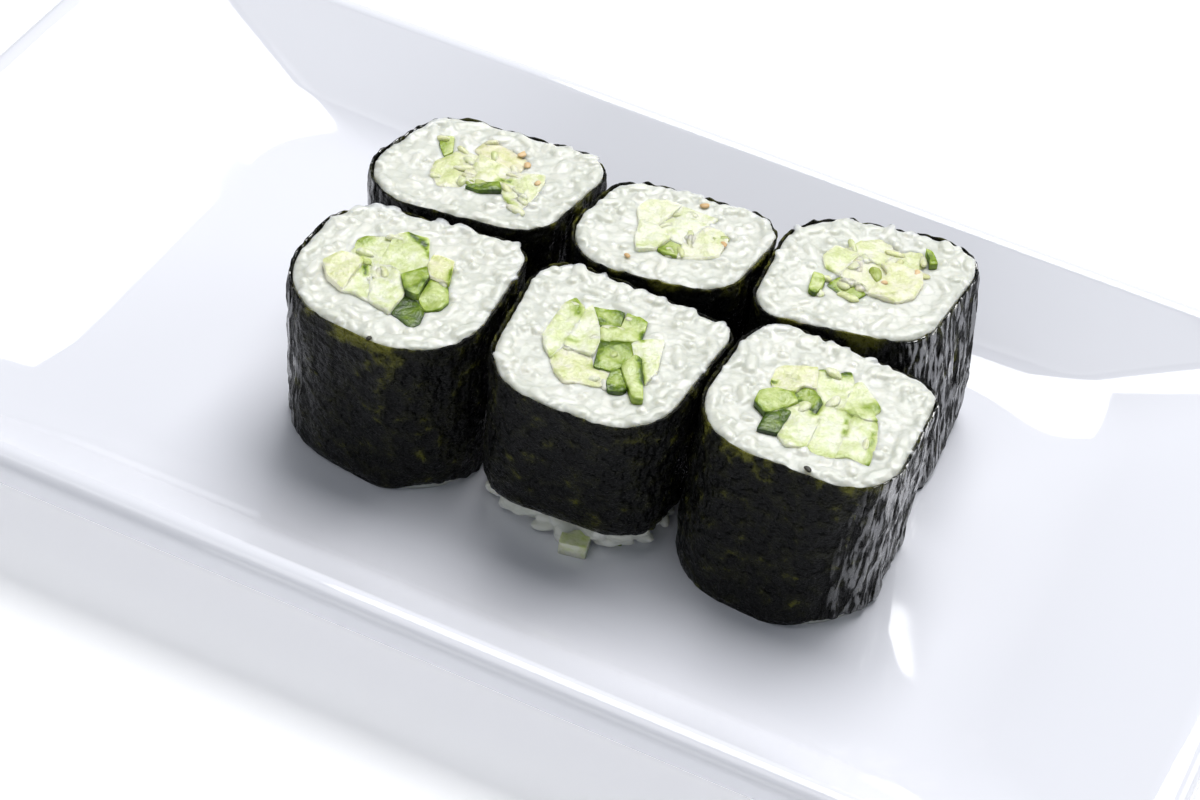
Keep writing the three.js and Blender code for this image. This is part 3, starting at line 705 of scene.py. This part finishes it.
for node in sorted(n for n in nodes if n.startswith("cucumber")):
    outline, bottom, top = cut_outline(node)
    outline, bottom, top = outline / MM, bottom / MM, top / MM
    seed = sum(map(ord, node)) % 97
    name, _, number = node.removeprefix("cucumber_").rpartition("_")
    filling = FILLINGS[name]
    fallen = number == "fallen"
    pale, edge, warm = FALLEN_STRIP if fallen else filling["strips"][int(number) - 1]
    sunk = SUNK.get(node, 0.25 + 0.2 * math.sin(seed))
    # Pale strips are soft and lie close together, and the green ones have a seam round them.
    rim = eased(outline, PALE_SWELL if pale > PALE_FLESH else GREEN_SWELL, CORNER_CUT)
    count = len(rim)
    out = outward(np.column_stack((rim, rim[:, :1])))[:, :2]
    shoulder = rim - out * SHOULDER
    levels = (bottom, top - sunk - SHOULDER_DROP)
    points = [np.column_stack((rim, np.full(count, level))) for level in levels]
    faces = band_faces(2, count)
    # The cut end is a sheet of small triangles inside the outline.
    low, high = rim.min(axis=0), rim.max(axis=0)
    steps = (np.arange(a, b, END_GRID) for a, b in zip(low, high))
    grid = np.stack(np.meshgrid(*steps), axis=2).reshape(-1, 2)
    grid += np.random.default_rng(seed).uniform(-0.15, 0.15, grid.shape)
    border = list(zip(shoulder, np.roll(shoulder, -1, axis=0)))
    room = np.array([distance_to(grid, start, end) for start, end in border]).min(axis=0)
    sheet, order, triangles = spread(np.concatenate((shoulder, grid[room > 0.3])), count)
    flat = np.column_stack((sheet, np.full(len(sheet), top - sunk)))
    flat[:, 2] += 0.25 * drift(flat, 2.0, seed) + 0.2 * drift(flat, 0.9, seed + 1)
    points = np.concatenate(points + [flat])
    faces += [tuple(2 * count + i for i in face) for face in triangles]
    for i in range(count):
        after = (i + 1) % count
        inner, inner_after = 2 * count + order[i], 2 * count + order[after]
        faces.append((count + i, count + after, inner_after, inner))
    _, order, triangles = spread(rim, count)
    back = {spot: i for i, spot in enumerate(order)}
    faces += [tuple(back[i] for i in reversed(face)) for face in triangles]
    strip = new_piece("strip_" + node, points * MM, faces, cucumber_finish)
    flat_points = points[:, :2]
    loop = zip(outline, np.roll(outline, -1, axis=0))
    near_edge = np.array([distance_to(flat_points, a, b) for a, b in loop]).min(axis=0)
    # The edges are darker: skin on the green strips, and painted shade where strips meet.
    value = pale - edge * np.exp(-((near_edge / SKIN_AND_SHADE_REACH) ** 2))
    value += 0.1 * drift(points, 1.8, seed + 2)
    # Darkened along each line: skin and green, and painted shade in the slits between strips.
    for x0, y0, x1, y1, reach, dark in filling["lines"]:
        away = distance_to(flat_points, (x0, y0), (x1, y1))
        value = value * (1 - dark * np.exp(-((away / reach) ** 2)))
    # Painted light: pale strips' sides are paler, so their seams show bright flesh; green ones'
    # show skin.
    value[: 2 * count] += PAINTED_LIGHT_PALE_SIDES if pale > PALE_FLESH else GREEN_SIDES
    set_values(strip.data, "paleness", value)
    set_values(strip.data, "warmth", np.full(len(points), warm))
    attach(strip, "root")
    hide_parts(node)

# ---- Rice ---------------------------------------------------------------------------------
# Short rice, cooked and seasoned, is pressed round the filling until its grains stick and
# flatten against each other. The knife has sliced those at the cut, and those at the back edge
# swell over the nori. Under the front middle roll some have spread on the plate.

GRAIN = (5.0, 2.15, 1.9)
GRAIN_SIDES = 8
GRAIN_STATIONS = np.array((-0.93, -0.72, -0.38, 0, 0.38, 0.72, 0.93))
GRAIN_UNEVENNESS = 0.0012
GRAIN_TRIES = 4000
ROOM_TO_WALL, ROOM_TO_STRIP = 0.55, 0.75
SWELLS_PER_METRE = 420.0
MERGE_SIZE = 0.00024
KNIFE_SQUASH = 0.68
SEAM_WIDTH = 0.4
ROOM_IN_SHEET = 0.1
FOOT_SPREAD = ((0, 3.4), (0.6, 2.8), (4.5, 2.0), (5.3, 0.6), (6.5, 0.6), (6.9, 1.2))

rice_finish, tree, shader = new_material("pressed_rice")
clouds = add_straying(tree, 3, 3, 0.25).outputs["Value"]
shade = add_math(tree, "ADD", add_attribute(tree, "tone"), clouds)
whites = add_ramp(tree, shade, ((0.0, (0.625, 0.64, 0.57)), (1.0, (0.755, 0.755, 0.69))))
# Painted shade: where two grains meet, the rice is greyer and greener.
seam_shaded = add_mix(tree, add_attribute(tree, "seam"), whites, (0.55, 0.57, 0.50, 1))
damp = add_bump(tree, add_straying(tree, 0.6, 3).outputs["Height"], 0.5, 0.00012)
tree.links.new(seam_shaded, shader.inputs["Base Color"])
tree.links.new(damp, shader.inputs["Normal"])
shader.inputs["Roughness"].default_value = 0.3
shader.inputs["Subsurface Weight"].default_value = 0.85
shader.inputs["Subsurface Radius"].default_value = (1.0, 0.95, 0.8)
shader.inputs["Subsurface Scale"].default_value = 0.0024

# One cooked grain, plump and slightly bent, one unit long, wide and deep.
turns = np.arange(GRAIN_SIDES) * 2 * math.pi / GRAIN_SIDES
thick = 0.5 * np.sqrt(1 - np.abs(GRAIN_STATIONS) ** 2.5)
grain_points = [
    (t / 2, r * math.cos(a) + 0.1 * t * t, r * math.sin(a))
    for t, r in zip(GRAIN_STATIONS, thick)
    for a in turns
]
grain_points += [(-0.5, 0.1, 0), (0.5, 0.1, 0)]
grain_faces = closed_faces(len(GRAIN_STATIONS), GRAIN_SIDES)
grain = new_piece("grain", grain_points, grain_faces, rice_finish)

# Sets a grain at each point, turned and sized by the point's own values, and makes each one
# a little different.
sow = bpy.data.node_groups.new("sow_grains", "GeometryNodeTree")
sow_inputs = {}
for title, kind in (
    ("Geometry", "Geometry"),
    ("Grain", "Object"),
    ("Unevenness", "Float"),
    ("Swell size", "Float"),
    ("Finish", "Material"),
):
    socket = sow.interface.new_socket(title, in_out="INPUT", socket_type="NodeSocket" + kind)
    sow_inputs[title] = socket.identifier
sow.interface.new_socket("Geometry", in_out="OUTPUT", socket_type="NodeSocketGeometry")
given = add_node(sow, "NodeGroupInput")
turned_by, sized_by = (
    add_node(sow, "GeometryNodeInputNamedAttribute", {"Name": title}, data_type="FLOAT_VECTOR")
    for title in ("turned", "sized")
)
shape = add_node(sow, "GeometryNodeObjectInfo", {"Object": given.outputs["Grain"]})
placed = add_node(
    sow,
    "GeometryNodeInstanceOnPoints",
    {
        "Points": given.outputs["Geometry"],
        "Instance": shape.outputs["Geometry"],
        "Rotation": turned_by.outputs["Attribute"],
        "Scale": sized_by.outputs["Attribute"],
    },
)
real = add_node(sow, "GeometryNodeRealizeInstances", {"Geometry": placed.outputs["Instances"]})
where = add_node(sow, "GeometryNodeInputPosition")
swells = add_node(
    sow,
    "ShaderNodeTexNoise",
    {"Vector": where.outputs[0], "Scale": given.outputs["Swell size"], "Detail": 1.0},
)
centred = add_node(
    sow,
    "ShaderNodeVectorMath",
    {0: swells.outputs["Color"], 1: (0.5, 0.5, 0.5)},
    operation="SUBTRACT",
)
moved = add_node(
    sow,
    "ShaderNodeVectorMath",
    {0: centred.outputs[0], "Scale": given.outputs["Unevenness"]},
    operation="SCALE",
)
bent = add_node(
    sow,
    "GeometryNodeSetPosition",
    {"Geometry": real.outputs[0], "Offset": moved.outputs[0]},
)
coated = add_node(
    sow,
    "GeometryNodeSetMaterial",
    {"Geometry": bent.outputs[0], "Material": given.outputs["Finish"]},
)
add_node(sow, "NodeGroupOutput", {"Geometry": coated.outputs[0]})


def sown(laid, finish, unevenness, values):
    """The mesh of a grain set at each laid place, turn and size, with values for its finish."""
    seeds_mesh = bpy.data.meshes.new("seeds")
    seeds_mesh.from_pydata([tuple(np.array(spot) * MM) for spot, _, _ in laid], [], [])
    for title, column, unit in (("turned", 1, 1), ("sized", 2, MM)):
        vectors = np.array([one[column] for one in laid]) * unit
        attribute = seeds_mesh.attributes.new(title, "FLOAT_VECTOR", "POINT")
        attribute.data.foreach_set("vector", vectors.ravel())
    for title, numbers in values.items():
        set_values(seeds_mesh, title, numbers)
    seeds = add_object("seeds", seeds_mesh)
    sower = seeds.modifiers.new("sow", "NODES")
    sower.node_group = sow
    sower[sow_inputs["Grain"]] = grain
    sower[sow_inputs["Unevenness"]] = unevenness
    sower[sow_inputs["Swell size"]] = SWELLS_PER_METRE
    sower[sow_inputs["Finish"]] = finish
    seen = seeds.evaluated_get(bpy.context.evaluated_depsgraph_get())
    mesh = bpy.data.meshes.new_from_object(seen)
    bpy.data.objects.remove(seeds)
    return mesh


def within(points, outline):
    """How far inside an outline points are, in millimetres: less than 0 outside."""
    ends = np.roll(outline, -1, axis=0)
    away = np.array([distance_to(points, *side) for side in zip(outline, ends)]).min(axis=0)
    x, y = points[:, :1], points[:, 1:2]
    spans = (outline[:, 1] > y) != (ends[:, 1] > y)
    rise = np.where(ends[:, 1] == outline[:, 1], 1, ends[:, 1] - outline[:, 1])
    cross = outline[:, 0] + (y - outline[:, 1]) / rise * (ends[:, 0] - outline[:, 0])
    inside = (spans & (x < cross)).sum(axis=1) % 2 == 1
    return np.where(inside, away, -away)


def strip_cuts(name):
    """The outlines of the strips' ends in the cut of one roll."""
    own = [n for n in nodes if n.startswith("cucumber_" + name) and "fallen" not in n]
    return [cut_outline(n)[0] / MM for n in own]


def lay_grains(outline, cuts, top, spacing, rng, steep):
    """Grains laid at random inside an outline, with their tops at a height, clear of the
    strips' cuts and of each other, and a share of them steep: their place, turn and size."""
    low, high = outline.min(axis=0), outline.max(axis=0)
    spots = rng.uniform(low, high, (GRAIN_TRIES, 2))
    turns = rng.uniform(0, math.pi, GRAIN_TRIES)
    stands = rng.random(GRAIN_TRIES) < steep
    standing = rng.uniform(0.8, 1.5, GRAIN_TRIES)
    tilts = np.where(stands, standing, rng.normal(0, 0.1, GRAIN_TRIES))
    lengths = GRAIN[0] * rng.uniform(0.75, 1.1, GRAIN_TRIES)
    headings = np.stack((np.cos(turns), np.sin(turns)), axis=1)
    reach = (0.33 * lengths * np.cos(tilts))[:, None] * headings
    marks = np.stack((spots - reach, spots, spots + reach), axis=1)
    flat = marks.reshape(-1, 2)
    clear = within(flat, outline) > ROOM_TO_WALL
    for cut in cuts:
        clear &= within(flat, cut) < -ROOM_TO_STRIP
    clear = clear.reshape(-1, 3).all(axis=1)
    taken, laid = np.zeros((0, 2)), []
    for i in np.flatnonzero(clear):
        gaps = np.linalg.norm(taken[:, None] - marks[i][None], axis=2)
        if len(taken) and gaps.min() < spacing:
            continue
        taken = np.concatenate((taken, marks[i]))
        drop = GRAIN[2] / 2 * math.cos(tilts[i]) + 0.42 * lengths[i] * math.sin(abs(tilts[i]))
        spot = (*spots[i], top - drop + rng.uniform(-0.22, 0.22))
        size = (lengths[i], *rng.uniform(0.88, 1.12, 2) * GRAIN[1:])
        laid.append((spot, (rng.uniform(-0.5, 0.5), tilts[i], turns[i]), size))
    return laid


def edge_grains(ring, low, high, rng, place):
    """Grains along a ring, where place gives each its spot, and whether it lies across, from
    the ring's own point and the way out."""
    out = outward(ring)
    steps = np.concatenate(([0], np.cumsum(np.linalg.norm(np.diff(ring, axis=0), axis=1))))
    laid, at = [], 0
    while at < steps[-1]:
        i = min(np.searchsorted(steps, at), len(ring) - 1)
        spot, across = place(ring[i], out[i])
        along = math.atan2(out[i, 0], -out[i, 1]) + rng.normal(0, 0.45) + across * math.pi / 2
        size = (GRAIN[0] * rng.uniform(0.65, 1.0), *rng.uniform(0.88, 1.12, 2) * GRAIN[1:])
        laid.append((spot, (rng.uniform(-0.6, 0.6), rng.normal(0, 0.15), along), size))
        at += rng.uniform(low, high)
    return laid


for number, (name, roll) in enumerate(ROLLS.items()):
    rng = np.random.default_rng(100 + number)
    cuts = strip_cuts(name)
    outline = roll_ring(roll, ROLL_HEIGHT, NORI_SHEET + 0.05, 12, 8)[:, :2]
    cut = WELL_FLOOR + ROLL_HEIGHT
    lift = roll["lift"]
    laid = lay_grains(outline, cuts, cut - 0.3, 1.4, rng, 0.35)
    laid += lay_grains(outline, cuts, cut + 0.05, 1.5, rng, 0.4)

    def at_rim(spot, out):
        swollen = min(1, max(0, 0.2 + 1.2 * out[1]))
        across = rng.random() < 0.6 * swollen
        reach = rng.uniform(-0.6, 0.3) if across else swollen * rng.uniform(0.4, 1.2) - 0.15
        spot = spot + out * reach
        return (spot[0], spot[1], cut - GRAIN[2] / 2 + rng.uniform(-0.4, 0.15)), across

    def at_foot(spot, out):
        height = rng.uniform(0.8, 4.4)
        spot = spot + out * rng.uniform(-0.5, 0.7) * (1.3 if height < 2 else 0.6)
        return (spot[0], spot[1], WELL_FLOOR + height), height < 2 and rng.random() < 0.4

    laid += edge_grains(roll_ring(roll, ROLL_HEIGHT, 1.45, 40, 40), 1.2, 2.3, rng, at_rim)
    if lift:
        laid += edge_grains(roll_ring(roll, 0, 2.3, 40, 40), 0.55, 1.1, rng, at_foot)
    tones = rng.uniform(0.15, 1, len(laid))
    grains = add_object("grains", sown(laid, rice_finish, GRAIN_UNEVENNESS, {}))

    # The pressed mass between the top grains, and under it the rest of the core.
    walls = ((4, 0.3), (3.6, 0.05), (2.4, 0.05), (1.2, 0.05), (0.5, 0.12))
    rings = [roll_ring(roll, ROLL_HEIGHT - h, NORI_SHEET + w, 16, 16) for h, w in walls]
    rim = rings.pop()
    centre = rim.mean(axis=0)
    for share in np.linspace(1, 0.03, 30):
        ring = centre + (rim - centre) * share
        ring[:, 2] += 0.12 * drift(ring, 2.0, 70 + number) + 0.1 * drift(ring, 0.9, 80 + number)
        ring[:, 2] += 0.04 * min(1, (1 - share) * 7)
        room = np.array([within(ring[:, :2], one) for one in cuts]).max(axis=0)
        ring[:, 2] -= 0.9 * np.clip(room + 0.4, 0, 1)
        rings.append(ring)
    parts = [grains, loft("top", rings, rice_finish)]
    if lift:
        spread_rings = [roll_ring(roll, h, inset, 16, 16) for h, inset in FOOT_SPREAD]
        parts.append(loft("foot", spread_rings, rice_finish))
    heap_mesh = bmesh.new()
    for part in parts:
        heap_mesh.from_mesh(part.data)
        bpy.data.objects.remove(part)
    joined = bpy.data.meshes.new("heap")
    heap_mesh.to_mesh(joined)
    heap_mesh.free()
    heap = add_object("heap", joined)
    # Cooked grains stick and flow together where they touch.
    merge = heap.modifiers.new("merge", "REMESH")
    merge.mode, merge.voxel_size = "VOXEL", MERGE_SIZE
    soften = heap.modifiers.new("soften", "SMOOTH")
    soften.factor, soften.iterations = 0.5, 5
    seen = heap.evaluated_get(bpy.context.evaluated_depsgraph_get())
    merged = bpy.data.meshes.new_from_object(seen)
    bpy.data.objects.remove(heap)
    spots = np.zeros(len(merged.vertices) * 3)
    merged.vertices.foreach_get("co", spots)
    spots = spots.reshape(-1, 3)
    # The knife has flattened what stands above the cut, and the sheet holds in the rest.
    spots[:, 2] -= KNIFE_SQUASH * np.maximum(spots[:, 2] - cut * MM, 0)
    held = (spots[:, 2] < (cut - 0.3) * MM) & (spots[:, 2] > (cut - 5) * MM)
    flat = spots[held, :2] / MM
    excess = np.maximum(ROOM_IN_SHEET - within(flat, outline), 0)[:, None]
    inwards = centre[:2] - flat
    spots[held, :2] += excess * inwards / np.linalg.norm(inwards, axis=1)[:, None] * MM
    merged.vertices.foreach_set("co", spots.ravel())
    shade_smooth(merged)
    merged.materials.clear()
    merged.materials.append(rice_finish)
    # Each grain's own tone, and the seams where two grains meet, which get painted shade.
    shares = np.linspace(-0.36, 0.36, 5)
    nearest = mathutils.kdtree.KDTree(len(laid) * len(shares))
    for i, (spot, (_, tilt, turn), size) in enumerate(laid):
        run = math.cos(tilt) * size[0]
        axis = np.array((run * math.cos(turn), run * math.sin(turn), -math.sin(tilt) * size[0]))
        for share in shares:
            nearest.insert((np.array(spot) + axis * share) * MM, i)
    nearest.balance()
    tone_values, seam_values = [], []
    for spot in spots:
        found = nearest.find_n(spot, 8)
        own_grain, near = found[0][1], found[0][2]
        far = next((reach for _, i, reach in found if i != own_grain), 1)
        tone_values.append(tones[own_grain])
        seam_values.append(max(0, 1 - (far - near) / (SEAM_WIDTH * MM)) ** 2 * 0.75)
    set_values(merged, "tone", tone_values)
    set_values(merged, "seam", seam_values)
    heap = add_object("rice_grains_" + name, merged)
    low = lift + 2.2 if lift else 0
    walls = ((low, 0.8), (low + 1.2, 0.4), ((low + ROLL_HEIGHT) / 2, 0.4))
    walls += ((ROLL_HEIGHT - 3.8, 0.4), (ROLL_HEIGHT - 3.4, 0.8))
    core_rings = [roll_ring(roll, h, inset, 16, 16) for h, inset in walls]
    core = loft("rice_core_" + name, core_rings, rice_finish)
    set_values(core.data, "tone", np.zeros(len(core.data.vertices)))
    for piece in (core, heap):
        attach(piece, "root")
        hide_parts("rice_" + name)

# ---- Chips --------------------------------------------------------------------------------
# Chips that the knife has broken off the strips lie over the filling, wet with juice: most are
# pale flesh, and a few are greener or have turned tan. They are lumps like the grains in shape.

CHIP_UNEVENNESS = 0.0008
CRUMB_UNEVENNESS = 0.0006
CRUMB_HEIGHT = 0.45
# How many lie on each roll, and how warm they are.
CHIPS = {
    "front_left": (16, 0.3), "front_middle": (10, 0.15), "front_right": (8, 0.25),
    "back_left": (22, 0.5), "back_middle": (14, 0.3), "back_right": (22, 0.5),
}
for number, (name, (count, warm)) in enumerate(CHIPS.items()):
    rng = np.random.default_rng(200 + number)
    cuts = strip_cuts(name)
    every = np.concatenate(cuts)
    laid = []
    while len(laid) < count:
        spot = rng.uniform(every.min(axis=0), every.max(axis=0))
        if max(within(spot[None], one)[0] for one in cuts) < -0.5:
            continue
        height = WELL_FLOOR + ROLL_HEIGHT + rng.uniform(-0.62, -0.4)
        turn = (rng.normal(0, 0.12), rng.normal(0, 0.12), rng.uniform(0, math.pi))
        size = (rng.uniform(1.6, 3.8), rng.uniform(1.1, 2.0), rng.uniform(0.8, 1.1))
        laid.append(((*spot, height), turn, size))
    greener = rng.random(count) < 0.12
    pale = np.where(greener, rng.uniform(0.6, 0.75, count), rng.uniform(0.84, 0.98, count))
    looks = {"paleness": pale, "warmth": rng.uniform(0, warm, count)}
    lumps = sown(laid, cucumber_finish, CHIP_UNEVENNESS, looks)
    shade_smooth(lumps)
    chips = add_object("chips_" + name, lumps)
    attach(chips, "root")

# Small tan crumbs that have stuck to the cut faces, and flakes of nori, as x, y and length in
# millimetres, and how dark each is.
CRUMBS = (
    (-16.4, -10.7, 1.3, 0.3), (-14.6, -12.2, 1.0, 0.1), (38.3, -8.8, 0.9, 0.3), (11, 23, 1.5, 0.4),
    (17, 16.3, 1.3, 0.5), (6, 6.3, 1.1, 0.5), (-17.6, 19.5, 1.6, 0.2), (-15.8, 17.6, 1.4, 0.3),
    (-12.6, 14.4, 1.2, 0.2), (44.2, 25.3, 1.4, 0.2), (40.8, 20.6, 1.2, 0.3),
    (-17.3, -29.5, 1.1, 1.0), (46.3, -22, 1.2, 1.0),
)
crumb_finish, tree, shader = new_material("crumb")
tan, brown, black = (0.80, 0.60, 0.34), (0.55, 0.33, 0.13), (0.02, 0.018, 0.008)
browning = add_attribute(tree, "browning")
baked = add_ramp(tree, browning, ((0.0, tan), (0.6, brown), (1.0, black)))
tree.links.new(baked, shader.inputs["Base Color"])
shader.inputs["Roughness"].default_value = 0.5
rng = np.random.default_rng(300)
cut = WELL_FLOOR + ROLL_HEIGHT
laid = [
    ((x, y, cut - 0.05), (0, 0, rng.uniform(0, 3)), (size, 0.75 * size, CRUMB_HEIGHT))
    for x, y, size, _ in CRUMBS
]
looks = {"browning": [dark for *_, dark in CRUMBS]}
crumb_mesh = sown(laid, crumb_finish, CRUMB_UNEVENNESS, looks)
shade_smooth(crumb_mesh)
crumbs = add_object("crumbs", crumb_mesh)
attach(crumbs, "root")
bpy.data.objects.remove(grain)
